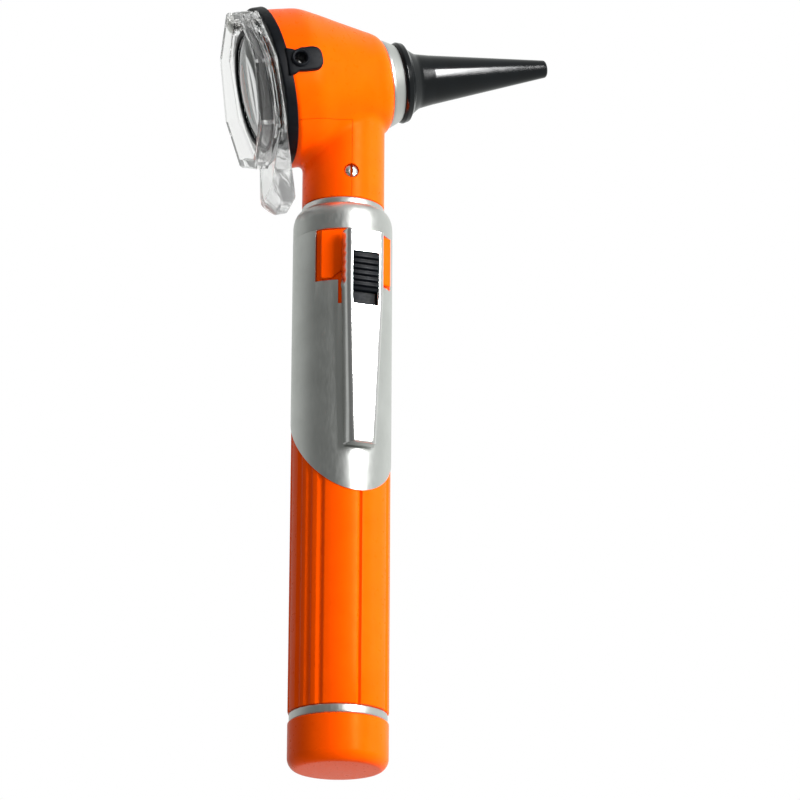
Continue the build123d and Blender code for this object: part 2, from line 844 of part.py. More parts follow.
with BuildPart() as frame_tab:
    with BuildSketch(eye_section):
        with BuildLine():
            Polyline(
                (frame_front, -10.8),
                (frame_back + 0.2, -10.8),
                (frame_back + 0.2, -13.5),
                (frame_front - 4.2, -21.0),
                (frame_front - 4.6, -22.6),
                (frame_front - 4.4, -23.6),
                (frame_front - 2.9, tab_end),
                (frame_front, tab_end),
                close=True,
            )
        make_face()
    extrude(amount=15, both=True)
    with BuildSketch(eye_plane(frame_back - 6)):
        with BuildLine():
            Polyline(
                (-tab_root_half - 1.0, -10.8),
                (-tab_root_half, -11.9),
                (-tab_end_half, tab_end + 0.7),
                (0, tab_end),
                (tab_end_half, tab_end + 0.7),
                (tab_root_half, -11.9),
                (tab_root_half + 1.0, -10.8),
                close=True,
            )
        make_face()
    extrude(amount=12, mode=Mode.INTERSECT)

with BuildPart() as lens_frame:
    with BuildSketch(eye_plane(frame_back)):
        RegularPolygon(octagon_r, 8)
    extrude(amount=flange_thick)
    add(frame_rim.part)
    add(frame_well.part, mode=Mode.SUBTRACT)
    add(frame_tab.part)
    with BuildSketch(eye_plane(-pivot_boss_back, pivot_lift)):
        Circle(pivot_boss_r)
    extrude(amount=pivot_boss_back + frame_front)
    with BuildSketch(eye_plane(frame_back - 2)):
        Circle(lens_seat_r)
    extrude(amount=2 + flange_thick - lens_lip, mode=Mode.SUBTRACT)
    with BuildSketch(eye_plane(frame_back - 2)):
        Circle(lens_clear_r)
    extrude(amount=10, mode=Mode.SUBTRACT)
    with BuildSketch(eye_plane(frame_back - 4, pivot_lift)):
        Circle(pivot_r + pivot_gap)
    extrude(amount=12, mode=Mode.SUBTRACT)
finish(lens_frame, "lens_frame")

lens_front = frame_front - lens_lip
lens_rim = lens_front - lens_edge
lens_dome_r = lens_clear_r - 0.3
dome_radius = (lens_dome_r**2 + lens_crown**2) / (2 * lens_crown)
dome_half_angle = math.asin(lens_dome_r / dome_radius) / 2
with BuildPart() as magnifier_lens:
    with BuildSketch(eye_section):
        with BuildLine():
            Line((lens_front, 0), (lens_front, lens_seat_r - lens_gap))
            Line((lens_front, lens_seat_r - lens_gap), (lens_rim, lens_seat_r - lens_gap))
            Line((lens_rim, lens_seat_r - lens_gap), (lens_rim, lens_dome_r))
            ThreePointArc(
                (lens_rim, lens_dome_r),
                (
                    lens_rim - lens_crown + dome_radius * (1 - math.cos(dome_half_angle)),
                    dome_radius * math.sin(dome_half_angle),
                ),
                (lens_rim - lens_crown, 0),
            )
            Line((lens_rim - lens_crown, 0), (lens_front, 0))
        make_face()
    revolve(axis=eye_axis)
finish(magnifier_lens, "magnifier_lens")

with BuildPart() as lens_ring:
    with BuildSketch(eye_plane(lens_rim - 0.5)):
        Circle(lens_seat_r - lens_gap)
        Circle(lens_clear_r, mode=Mode.SUBTRACT)
    extrude(amount=0.5)
finish(lens_ring, "lens_ring")

with BuildPart() as pivot_screw:
    with BuildSketch(eye_plane(-pivot_boss_back - 0.05, pivot_lift)):
        Circle(pivot_r)
    extrude(amount=pivot_boss_back - 0.2)
    with BuildSketch(eye_plane(-pivot_boss_back - 0.05 - pivot_head, pivot_lift)):
        Circle(pivot_head_r)
    extrude(amount=pivot_head)
    chamfer(pivot_screw.faces().sort_by(eye_axis)[0].edges(), 0.3)
finish(pivot_screw, "pivot_screw")

with BuildPart() as pivot_washer:
    with BuildSketch(eye_plane(frame_front + 0.05, pivot_lift)):
        Circle(pivot_boss_r)
        Circle(pivot_r, mode=Mode.SUBTRACT)
    extrude(amount=frame_gap - 0.05)
finish(pivot_washer, "pivot_washer")

# --- Speculum -------------------------------------------------------------------------------
with BuildPart() as speculum:
    with BuildSketch(nose_section):
        with BuildLine():
            Line((speculum_rear, speculum_bore_rear_r), (speculum_rear, speculum_flange_r))
            Line((speculum_rear, speculum_flange_r), (speculum_flange, speculum_flange_r))
            ThreePointArc(
                (speculum_flange, speculum_flange_r),
                (speculum_flange + 0.75, speculum_neck_r + 0.95),
                (speculum_neck, speculum_neck_r),
            )
            Line((speculum_neck, speculum_neck_r), (speculum_tip, speculum_tip_r))
            Line((speculum_tip, speculum_tip_r), (speculum_tip, speculum_bore_tip_r))
            Line((speculum_tip, speculum_bore_tip_r), (spigot_front, speculum_bore_mid_r))
            Line((spigot_front, speculum_bore_mid_r), (speculum_rear, speculum_bore_rear_r))
        make_face()
    revolve(axis=nose_axis)
finish(speculum, "speculum")
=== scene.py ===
import json
import math

import bmesh
import bpy
import numpy as np
from mathutils import Matrix, Vector


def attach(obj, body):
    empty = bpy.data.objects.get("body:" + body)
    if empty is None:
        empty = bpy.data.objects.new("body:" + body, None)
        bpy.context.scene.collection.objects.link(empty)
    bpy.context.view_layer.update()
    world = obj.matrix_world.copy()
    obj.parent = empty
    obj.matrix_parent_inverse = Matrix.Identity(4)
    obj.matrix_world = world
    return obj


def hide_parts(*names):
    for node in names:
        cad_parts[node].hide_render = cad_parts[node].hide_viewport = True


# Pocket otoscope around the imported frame. Shapes are worked out in millimetres in the frame's own
# axes (+Z up the handle, +X the speculum's side, -Y the clip's side) and stored in metres.

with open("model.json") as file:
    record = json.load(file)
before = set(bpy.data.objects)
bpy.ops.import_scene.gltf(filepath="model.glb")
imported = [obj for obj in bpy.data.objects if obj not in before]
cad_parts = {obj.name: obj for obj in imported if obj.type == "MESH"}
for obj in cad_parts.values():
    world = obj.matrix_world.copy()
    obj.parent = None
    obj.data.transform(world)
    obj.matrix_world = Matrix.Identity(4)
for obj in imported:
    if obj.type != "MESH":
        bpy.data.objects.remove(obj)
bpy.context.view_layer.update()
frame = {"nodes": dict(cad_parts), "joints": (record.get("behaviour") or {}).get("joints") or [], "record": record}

MM = 0.001
BODY_OF = {n: b for b, nodes in frame["record"]["behaviour"]["bodies"].items() for n in nodes}
SLOT_OF = {row["node"]: row["material_slot"] for row in frame["record"]["subparts"]}
JOINTS = {joint["name"]: joint for joint in frame["joints"]}

# --- Frame directions -----------------------------------------------------------------------
AXIS_HEIGHT = 144.05
EYE_BACK = -14.8
EYE_LIFT = 1.7
NOSE = Vector(JOINTS["speculum_pull"]["axis"]).normalized()
EYE = Vector(JOINTS["lens_swing"]["axis"]).normalized()
SIDE = Vector((0, 1, 0))
NOSE_UP = Vector((-NOSE.z, 0, NOSE.x))
EYE_UP = Vector((-EYE.z, 0, EYE.x))
NOSE_POINT = Vector((0, 0, AXIS_HEIGHT))
EYE_POINT = NOSE_POINT + NOSE * EYE_BACK + NOSE_UP * EYE_LIFT
CLIP_SIDE = -Vector(JOINTS["clip_flex"]["axis"]).normalized()
CLIP_OUT = Vector((CLIP_SIDE.y, -CLIP_SIDE.x, 0))
UP = Vector((0, 0, 1))
ORIGIN = Vector((0, 0, 0))

HANDLE_R = 10.0
TUBE_LOW = 11.25
TUBE_TOP = 109.5
CUT_HEIGHT = 66.9
CUT_RISE = 12.4


# --- Mesh helpers ---------------------------------------------------------------------------
def soften(corners, steps=5):
    """Closed outline of (a, b, fillet) corners as points, each corner rounded by its fillet."""
    out = []
    count = len(corners)
    for i, (a, b, fillet) in enumerate(corners):
        here = Vector((a, b))
        if fillet <= 0:
            out.append(here)
            continue
        back = Vector(corners[i - 1][:2]) - here
        ahead = Vector(corners[(i + 1) % count][:2]) - here
        turn = math.pi - back.angle(ahead)
        reach = min(fillet * math.tan(turn / 2), 0.49 * back.length, 0.49 * ahead.length)
        start = here + back.normalized() * reach
        end = here + ahead.normalized() * reach
        for k in range(steps + 1):
            t = k / steps
            out.append(start * (1 - t) ** 2 + here * 2 * t * (1 - t) + end * t**2)
    return out


def ring_points(origin, across, upward, radius_at, count):
    """Closed ring of points about origin; radius_at gives the radius at an angle from across."""
    points = []
    for k in range(count):
        angle = 2 * math.pi * k / count
        radius = radius_at(angle)
        points.append(origin + across * (radius * math.cos(angle)) + upward * (radius * math.sin(angle)))
    return points


def skin(rings, closed=True):
    """Faces between rings of equally many points; closed joins the last ring to the first."""
    count = len(rings[0])
    verts = [p for ring in rings for p in ring]
    faces = []
    for i in range(len(rings) if closed else len(rings) - 1):
        j = (i + 1) % len(rings)
        for k in range(count):
            m = (k + 1) % count
            faces.append((i * count + k, i * count + m, j * count + m, j * count + k))
    return verts, faces


def lathe(corners, origin, axis, count=144, steps=5):
    """Solid turned from a closed outline of (along, radius, fillet) corners about an axis."""
    axis = axis.normalized()
    across = axis.orthogonal().normalized()
    upward = axis.cross(across)
    rings = []
    for point in soften(corners, steps):
        centre = origin + axis * point.x
        rings.append(ring_points(centre, across, upward, lambda angle, r=point.y: max(r, 0.0), count))
    return skin(rings)


def new_object(name, verts, faces):
    """Mesh object from points in millimetres, cleaned and with its faces turned outward."""
    mesh = bpy.data.meshes.new(name)
    mesh.from_pydata([tuple(v) for v in verts], [], faces)
    bm = bmesh.new()
    bm.from_mesh(mesh)
    bmesh.ops.remove_doubles(bm, verts=bm.verts, dist=1e-4)
    bmesh.ops.dissolve_degenerate(bm, edges=bm.edges, dist=1e-5)
    bmesh.ops.recalc_face_normals(bm, faces=bm.faces)
    bm.to_mesh(mesh)
    bm.free()
    piece = bpy.data.objects.new(name, mesh)
    bpy.context.scene.collection.objects.link(piece)
    return piece


def apply_modifiers(piece):
    """Bakes a piece's modifiers into its mesh."""
    depsgraph = bpy.context.evaluated_depsgraph_get()
    depsgraph.update()
    mesh = bpy.data.meshes.new_from_object(piece.evaluated_get(depsgraph))
    piece.modifiers.clear()
    old = piece.data
    piece.data = mesh
    bpy.data.meshes.remove(old)
    return piece


def bevel(piece, width, segments=3, angle=35.0):
    """Rounds edges sharper than angle, in degrees."""
    modifier = piece.modifiers.new("bevel", "BEVEL")
    modifier.width = width
    modifier.segments = segments
    modifier.limit_method = "ANGLE"
    modifier.angle_limit = math.radians(angle)
    modifier.use_clamp_overlap = True
    modifier.harden_normals = False
    return apply_modifiers(piece)


def thicken(piece, thickness):
    """Gives a sheet its thickness, inward from its outer face."""
    modifier = piece.modifiers.new("solidify", "SOLIDIFY")
    modifier.thickness = thickness
    modifier.offset = -1
    modifier.use_even_offset = True
    return apply_modifiers(piece)


def combine(piece, other, operation, solver="EXACT"):
    """Boolean of two solids; the second one is removed."""
    modifier = piece.modifiers.new("boolean", "BOOLEAN")
    modifier.operation = operation
    modifier.solver = solver
    modifier.object = other
    apply_modifiers(piece)
    bpy.data.objects.remove(other)
    return piece


def prism(name, outline, origin, across, upward, depth):
    """Solid between an outline of (across, upward) points and its copy moved along depth."""
    low = [origin + across * a + upward * b for a, b in outline]
    high = [p + depth for p in low]
    count = len(low)
    faces = [tuple(range(count)), tuple(range(2 * count - 1, count - 1, -1))]
    for k in range(count):
        m = (k + 1) % count
        faces.append((k, m, count + m, count + k))
    return new_object(name, low + high, faces)


def merge(piece, *others):
    """Joins separate shells into one mesh object."""
    bm = bmesh.new()
    bm.from_mesh(piece.data)
    for other in others:
        bm.from_mesh(other.data)
        bpy.data.objects.remove(other)
    bm.to_mesh(piece.data)
    bm.free()
    return piece


def finish_piece(piece, node, *more_nodes, sharp=38.0):
    """Scales a piece to metres, shades it, and makes it stand for its CAD nodes."""
    piece.data.transform(Matrix.Scale(MM, 4))
    piece.data.shade_smooth()
    piece.data.set_sharp_from_angle(angle=math.radians(sharp))
    piece.data.materials.clear()
    piece.data.materials.append(MATERIALS[SLOT_OF[node]])
    piece.name = f"{node}_form"
    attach(piece, BODY_OF[node])
    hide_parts(node, *more_nodes)
    return piece


def turned(node, corners, origin=ORIGIN, axis=UP, count=144, sharp=38.0):
    """A lathe-turned piece that stands for one CAD node."""
    return finish_piece(new_object(node, *lathe(corners, origin, axis, count)), node, sharp=sharp)


# --- Materials ------------------------------------------------------------------------------
def material(name, colour, roughness, metallic=0.0, **sockets):
    """Principled material and its node tree, with uniform values on the shader's own sockets."""
    result = bpy.data.materials.new(name)
    result.use_nodes = True
    shader = result.node_tree.nodes["Principled BSDF"]
    shader.inputs["Base Color"].default_value = (*colour, 1)
    shader.inputs["Roughness"].default_value = roughness
    shader.inputs["Metallic"].default_value = metallic
    for key, value in sockets.items():
        shader.inputs[key.replace("_", " ")].default_value = value
    return result


def noise(mat, scale, stretch=(1, 1, 1), detail=3.0, roughness=0.55):
    """Noise in the frame's own axes; scale is in cells per metre, stretched along an axis."""
    nodes, links = mat.node_tree.nodes, mat.node_tree.links
    place = nodes.new("ShaderNodeTexCoord")
    mapping = nodes.new("ShaderNodeMapping")
    mapping.inputs["Scale"].default_value = stretch
    texture = nodes.new("ShaderNodeTexNoise")
    texture.inputs["Scale"].default_value = scale
    texture.inputs["Detail"].default_value = detail
    texture.inputs["Roughness"].default_value = roughness
    links.new(place.outputs["Object"], mapping.inputs["Vector"])
    links.new(mapping.outputs["Vector"], texture.inputs["Vector"])
    return texture.outputs["Fac"]


def vary(mat, fac, socket, low, high, span=(0.3, 0.7)):
    """Drives a shader input between two values or colours by a noise."""
    nodes, links = mat.node_tree.nodes, mat.node_tree.links
    ramp = nodes.new("ShaderNodeValToRGB")
    ramp.color_ramp.elements[0].position = span[0]
    ramp.color_ramp.elements[1].position = span[1]
    low_colour = low if isinstance(low, tuple) else (low, low, low)
    high_colour = high if isinstance(high, tuple) else (high, high, high)
    ramp.color_ramp.elements[0].color = (*low_colour, 1)
    ramp.color_ramp.elements[1].color = (*high_colour, 1)
    links.new(fac, ramp.inputs["Fac"])
    links.new(ramp.outputs["Color"], nodes["Principled BSDF"].inputs[socket])


def emboss(mat, *layers):
    """Bump from (noise, strength, distance) layers, finest last."""
    nodes, links = mat.node_tree.nodes, mat.node_tree.links
    normal = None
    for fac, strength, distance in layers:
        bump = nodes.new("ShaderNodeBump")
        bump.inputs["Strength"].default_value = strength
        bump.inputs["Distance"].default_value = distance
        links.new(fac, bump.inputs["Height"])
        if normal is not None:
            links.new(normal, bump.inputs["Normal"])
        normal = bump.outputs["Normal"]
    links.new(normal, nodes["Principled BSDF"].inputs["Normal"])


def orange_plastic():
    mat = material("orange_plastic", (0.95, 0.082, 0.0002), 0.3, Specular_IOR_Level=0.1)
    mat.node_tree.nodes["Principled BSDF"].inputs["Specular Tint"].default_value = (1.0, 0.55, 0.10, 1)
    vary(mat, noise(mat, 220, detail=4), "Base Color", (0.93, 0.077, 0.0002), (0.97, 0.087, 0.0003))
    vary(mat, noise(mat, 900, detail=5), "Roughness", 0.25, 0.38)
    emboss(mat, (noise(mat, 350, detail=2), 0.10, 0.0001), (noise(mat, 4200, detail=4), 0.15, 0.00003))
    return mat


def satin_silver():
    mat = material("satin_silver", (0.67, 0.68, 0.66), 0.33, 1.0)
    vary(mat, noise(mat, 160, detail=4), "Base Color", (0.63, 0.64, 0.62), (0.71, 0.72, 0.70))
    vary(mat, noise(mat, 2600, (1, 1, 0.25), 5), "Roughness", 0.30, 0.42)
    emboss(mat, (noise(mat, 3600, (1, 1, 0.6), 4), 0.45, 0.00003))
    return mat


def clip_steel():
    mat = material("clip_steel", (0.80, 0.80, 0.79), 0.2, 1.0)
    vary(mat, noise(mat, 3200, (1, 1, 0.04), 4), "Roughness", 0.15, 0.26)
    vary(mat, noise(mat, 240, detail=4), "Base Color", (0.76, 0.76, 0.755), (0.84, 0.84, 0.83))
    emboss(mat, (noise(mat, 4200, (1, 1, 0.03), 3), 0.12, 0.00001), (noise(mat, 130, detail=1), 0.06, 0.0002))
    return mat


def screw_steel():
    mat = material("screw_steel", (0.74, 0.73, 0.71), 0.22, 1.0)
    vary(mat, noise(mat, 3000, detail=4), "Roughness", 0.16, 0.34)
    emboss(mat, (noise(mat, 5000, detail=3), 0.15, 0.00001))
    return mat


def black_plastic():
    mat = material("black_plastic", (0.003, 0.0035, 0.005), 0.38, Specular_IOR_Level=0.12)
    vary(mat, noise(mat, 700, detail=4), "Base Color", (0.002, 0.0025, 0.0035), (0.004, 0.005, 0.007))
    vary(mat, noise(mat, 1500, detail=4), "Roughness", 0.34, 0.52)
    emboss(mat, (noise(mat, 5200, detail=4), 0.35, 0.00003))
    return mat


def gloss_black():
    mat = material("gloss_black", (0.0008, 0.0012, 0.0018), 0.12, Specular_IOR_Level=0.4)
    vary(mat, noise(mat, 500, (1, 1, 1), 4), "Roughness", 0.12, 0.19)
    vary(mat, noise(mat, 260, detail=4), "Base Color", (0.0005, 0.0009, 0.0013), (0.001, 0.0018, 0.0026))
    emboss(mat, (noise(mat, 260, detail=2), 0.08, 0.0001), (noise(mat, 3800, detail=3), 0.10, 0.00002))
    return mat


def clear_acrylic():
    mat = material("clear_acrylic", (0.99, 0.99, 0.985), 0.02, IOR=1.33, Transmission_Weight=1.0, Alpha=0.85)
    vary(mat, noise(mat, 300, detail=3), "Roughness", 0.0, 0.04)
    emboss(mat, (noise(mat, 260, (1, 1, 0.5), 2), 0.10, 0.0003), (noise(mat, 900, detail=3), 0.06, 0.0001))
    return mat


def lens_glass():
    mat = material("lens_glass", (0.97, 0.98, 0.98), 0.0, IOR=1.46, Transmission_Weight=1.0)
    vary(mat, noise(mat, 60, detail=2), "Roughness", 0.0, 0.02)
    return mat


def brass_contact():
    mat = material("brass_contact", (0.78, 0.55, 0.22), 0.3, 1.0)
    vary(mat, noise(mat, 600, detail=4), "Base Color", (0.70, 0.47, 0.18), (0.82, 0.60, 0.26))
    vary(mat, noise(mat, 2500, detail=4), "Roughness", 0.22, 0.4)
    emboss(mat, (noise(mat, 4000, detail=3), 0.15, 0.00001))
    return mat


def spring_steel():
    mat = material("spring_steel", (0.60, 0.60, 0.58), 0.28, 1.0)
    vary(mat, noise(mat, 2500, detail=4), "Roughness", 0.2, 0.36)
    emboss(mat, (noise(mat, 6000, detail=3), 0.15, 0.00001))
    return mat


def cell_jacket():
    mat = material("cell_jacket", (0.05, 0.055, 0.06), 0.3, 0.4)
    vary(mat, noise(mat, 300, detail=3), "Roughness", 0.24, 0.36)
    emboss(mat, (noise(mat, 900, detail=3), 0.1, 0.00002))
    return mat


def light_guide():
    mat = material("light_guide", (0.82, 0.84, 0.80), 0.3, IOR=1.5)
    vary(mat, noise(mat, 4000, detail=2), "Base Color", (0.60, 0.63, 0.60), (0.93, 0.94, 0.90))
    emboss(mat, (noise(mat, 5000, detail=2), 0.3, 0.00002))
    return mat


def insert_metal():
    mat = material("insert_metal", (0.50, 0.50, 0.49), 0.34, 1.0)
    vary(mat, noise(mat, 1800, (1, 1, 4), 4), "Roughness", 0.26, 0.42)
    emboss(mat, (noise(mat, 3000, (1, 1, 6), 3), 0.2, 0.00001))
    return mat


MATERIALS = {
    make.__name__: make()
    for make in (
        orange_plastic,
        satin_silver,
        clip_steel,
        screw_steel,
        black_plastic,
        gloss_black,
        clear_acrylic,
        lens_glass,
        brass_contact,
        spring_steel,
        cell_jacket,
        light_guide,
        insert_metal,
    )
}
for node_name, node_object in frame["nodes"].items():
    node_object.data.materials.clear()
    node_object.data.materials.append(MATERIALS[SLOT_OF[node_name]])


# --- Handle ---------------------------------------------------------------------------------
def cut_at(angle):
    """Height of the sleeve's slanted lower edge at an angle from the clip's direction."""
    return CUT_HEIGHT - CUT_RISE * math.cos(angle)


def handle_point(angle, radius, height):
    """Point on the handle at an angle from the clip's direction, towards +X."""
    return CLIP_OUT * (radius * math.cos(angle)) + CLIP_SIDE * (radius * math.sin(angle)) + UP * height


def build_end_cap():
    turned(
        "end_cap",
        [
            (0.0, 0.0, 0),
            (0.0, 8.85, 2.6),
            (1.55, HANDLE_R, 2.6),
            (9.35, HANDLE_R, 0.3),
            (9.35, 8.15, 0.1),
            (2.0, 8.15, 0.1),
            (2.0, 0.0, 0),
        ],
    )


def build_lower_ring():
    turned(
        "lower_ring",
        [
            (3.6, 8.1, 0.3),
            (9.42, 8.1, 0),
            (9.42, 9.72, 0.35),
            (11.24, 9.72, 0.35),
            (11.24, 8.6, 0),
            (17.0, 8.6, 0.3),
            (17.0, 7.6, 0.1),
            (3.6, 7.6, 0.1),
        ],
    )


FLUTE_LINE = 4.0
FLUTES = [(FLUTE_LINE, 2.8, 0.42)]
FLUTES += [(FLUTE_LINE + side * step, 5.2, 0.34) for step in (46.2, 61.8, 77.4) for side in (-1, 1)]
FLUTES += [(angle + 180, half, depth) for angle, half, depth in FLUTES]


def fluted_radius(angle):
    """Tube radius at an angle, dipping at each flute."""
    degrees = math.degrees(angle)
    radius = HANDLE_R
    for flute, half, depth in FLUTES:
        away = abs((degrees - flute + 180) % 360 - 180)
        if away < half:
            radius = HANDLE_R - depth * math.cos(math.pi / 2 * away / half) ** 1.6
    return radius


def build_tube():
    angles = [2 * math.pi * k / 720 for k in range(720)]
    rings = []
    for drop, height in ((0.35, TUBE_LOW), (0.08, TUBE_LOW + 0.12), (0.0, TUBE_LOW + 0.35)):
        rings.append([handle_point(a, fluted_radius(a) - drop, height) for a in angles])
    for share in (0.25, 0.5, 0.75, 1.0):
        low = TUBE_LOW + 0.35
        rings.append(
            [handle_point(a, fluted_radius(a), low + share * (cut_at(a) + 0.15 - low)) for a in angles]
        )
    for share in (0.0, 0.5, 1.0):
        rings.append(
            [
                handle_point(a, 9.62, cut_at(a) + 0.2 + share * (TUBE_TOP - cut_at(a) - 0.2))
                for a in angles
            ]
        )
    rings.append([handle_point(a, 7.6, TUBE_TOP) for a in angles])
    rings.append([handle_point(a, 7.6, TUBE_LOW) for a in angles])
    finish_piece(new_object("tube", *skin(rings)), "handle_tube", sharp=28)


WINDOW_HALF = math.asin(8.0 / 10.12)
SLOT_HALF = math.asin(4.2 / 10.12)
WINDOW_LOW = 98.4
SLOT_LOW = 93.4


def build_sleeve():
    angles = sorted(
        [math.radians(a) for a in range(-180, 180, 2)] + [WINDOW_HALF, -WINDOW_HALF, SLOT_HALF, -SLOT_HALF]
    )
    rows = [("cut", 0.0), ("cut", 0.35), ("cut", 0.7), ("at", SLOT_LOW), ("at", WINDOW_LOW), ("at", TUBE_TOP)]
    verts = []
    for kind, value in rows:
        for a in angles:
            height = value if kind == "at" else cut_at(a) + value * (SLOT_LOW - cut_at(a))
            verts.append(handle_point(a, 10.14, height))
    count = len(angles)
    faces = []
    for i in range(len(rows) - 1):
        for k in range(count):
            m = (k + 1) % count
            middle = abs((angles[k] + angles[m]) / 2) if m else math.pi
            if i == 3 and middle < SLOT_HALF or i == 4 and middle < WINDOW_HALF:
                continue
            faces.append((i * count + k, i * count + m, (i + 1) * count + m, (i + 1) * count + k))
    sheet = new_object("sleeve", verts, faces)
    finish_piece(bevel(thicken(sheet, 0.44), 0.19, 3, 50), "handle_sleeve", sharp=30)


PAD_INNER = 3.3
PAD_OUTER = 7.55
PAD_LOW = 98.7
PAD_HIGH = 109.0
PAD_CUT = 1.9


def saddle_pad(side):
    """One raised orange pad beside the clip, with its lower inner corner cut off."""
    columns = [PAD_INNER + (PAD_OUTER - PAD_INNER) * k / 12 for k in range(13)]
    slope = 0.42
    verts = []
    faces = []
    for across in columns:
        low = PAD_LOW + max(0.0, PAD_CUT - 0.85 * (across - PAD_INNER))
        for height in (low, (low + PAD_HIGH) / 2, PAD_HIGH):
            out = 9.75 - slope * (across - PAD_INNER)
            verts.append(CLIP_OUT * out + CLIP_SIDE * (side * across) + UP * height)
    for k in range(len(columns) - 1):
        for row in range(2):
            quad = (3 * k + row, 3 * k + 3 + row, 3 * k + 4 + row, 3 * k + 1 + row)
            faces.append(quad if side > 0 else quad[::-1])
    mesh = bpy.data.meshes.new("pad")
    mesh.from_pydata([tuple(v) for v in verts], [], faces)
    pad = bpy.data.objects.new("pad", mesh)
    bpy.context.scene.collection.objects.link(pad)
    return bevel(thicken(pad, 1.1), 0.28, 3, 50)


WEB_OUTER = 9.78
WEB_INNER = 9.65
WEB_HALF = 51.5
WEB_STEPS = 48


def build_saddle():
    """Thin web behind the sleeve's window, WEB_HALF degrees to each side, with its two pads."""
    rings = []
    low, high = SLOT_LOW + 0.2, TUBE_TOP - 0.2
    angles = [math.radians(-WEB_HALF + 2 * WEB_HALF * k / WEB_STEPS) for k in range(WEB_STEPS + 1)]
    for radius, edge in ((WEB_OUTER, low), (WEB_OUTER, high), (WEB_INNER, high), (WEB_INNER, low)):
        ring = []
        for a in angles:
            narrow = abs(a) > SLOT_HALF - 0.02
            ring.append(handle_point(a, radius, WINDOW_LOW + 0.25 if edge == low and narrow else edge))
        rings.append(ring)
    count = WEB_STEPS + 1
    verts = [p for ring in rings for p in ring]
    faces = [tuple(i * count for i in range(4)), tuple(i * count + WEB_STEPS for i in (3, 2, 1, 0))]
    for i in range(4):
        j = (i + 1) % 4
        for k in range(count - 1):
            faces.append((i * count + k, i * count + k + 1, j * count + k + 1, j * count + k))
    web = new_object("web", verts, faces)
    finish_piece(merge(web, saddle_pad(1), saddle_pad(-1)), "switch_saddle")


def build_collar():
    turn = 1.35
    corners = [(TUBE_TOP, 6.95, 0.1), (TUBE_TOP, 10.12, 0.15)]
    for k in range(13):
        angle = k / 12 * turn
        height = 112.3 + 3.35 * math.sin(angle) / math.sin(turn)
        corners.append((height, 8.45 + 1.67 * math.cos(angle), 0))
    corners += [(115.7, 8.6, 0), (115.7, 6.95, 0.1)]
    turned("collar", corners)


CLIP_LOW = 63.4
CLIP_BEND = 94.0
CLIP_HIGH = 108.2
CLIP_FACE_R = 13.4
CLIP_EDGE_R = 10.55
CLIP_SLOT = (92.3, 103.65, 2.75)
CLIP_LEAN = 0.26


def clip_section(height, shrink=0.0):
    """Outer outline of the clip's channel at a height, from one free edge to the other."""
    share = min(1.0, (height - CLIP_LOW) / (CLIP_BEND - CLIP_LOW))
    scallop = 0.16 * abs(math.sin(math.pi * (height - 96) / 1.8)) if height > 96 else 0.0
    face = 2.65 + 1.2 * share - shrink
    edge = 3.3 + 0.85 * share - shrink * 0.5 + scallop
    top = CLIP_FACE_R - shrink
    half = [(edge, CLIP_EDGE_R)]
    corner = Vector((face, top))
    down = (Vector((edge, CLIP_EDGE_R)) - corner).normalized()
    radius = 0.85
    start = corner + down * radius
    end = corner + Vector((-radius, 0))
    for k in range(6):
        t = k / 5
        point = start * (1 - t) ** 2 + corner * 2 * t * (1 - t) + end * t**2
        half.append((point.x, point.y))
    half.append((min(CLIP_SLOT[2], face - radius - 0.02), top))
    other_half = [(-a, r) for a, r in reversed(half)]
    lean = CLIP_LEAN * share
    return [(a + lean, r) for a, r in half + other_half]


def build_clip():
    heights = [CLIP_LOW, CLIP_LOW + 0.12, CLIP_LOW + 0.4, 70.0, 78.0, 86.0, CLIP_SLOT[0], CLIP_BEND]
    heights += [96.0 + 0.3 * k for k in range(26)] + [CLIP_SLOT[1] + 0.3 * k for k in range(15)] + [CLIP_HIGH]
    shrinks = [0.3, 0.1] + [0.0] * (len(heights) - 2)
    verts = []
    for height, shrink in zip(heights, shrinks):
        for across, out in clip_section(height, shrink):
            verts.append(CLIP_OUT * out + CLIP_SIDE * across + UP * height)
    count = len(clip_section(CLIP_BEND))
    middle = count // 2 - 1
    faces = [tuple(range(count))]
    for i in range(len(heights) - 1):
        for k in range(count - 1):
            if k == middle and CLIP_SLOT[0] <= heights[i] < CLIP_SLOT[1]:
                continue
            faces.append((i * count + k, i * count + k + 1, (i + 1) * count + k + 1, (i + 1) * count + k))
    sheet = new_object("clip_sheet", verts, faces)
    inside = sheet.data.polygons[-1]
    if inside.normal.dot(CLIP_OUT) < 0 and abs(inside.normal.dot(CLIP_OUT)) > 0.5:
        sheet.data.flip_normals()
    bevel(thicken(sheet, 0.55), 0.1, 2, 50)
    foot = prism(
        "foot",
        [(-2.2, 106.6), (2.2, 106.6), (2.2, 108.1), (-2.2, 108.1)],
        CLIP_OUT * 10.0,
        CLIP_SIDE,
        UP,
        CLIP_OUT * 2.9,
    )
    finish_piece(merge(sheet, bevel(foot, 0.1, 2)), "clip")


BUTTON_LOW = 95.3
BUTTON_HIGH = 103.5
BUTTON_BASE_R = 10.25


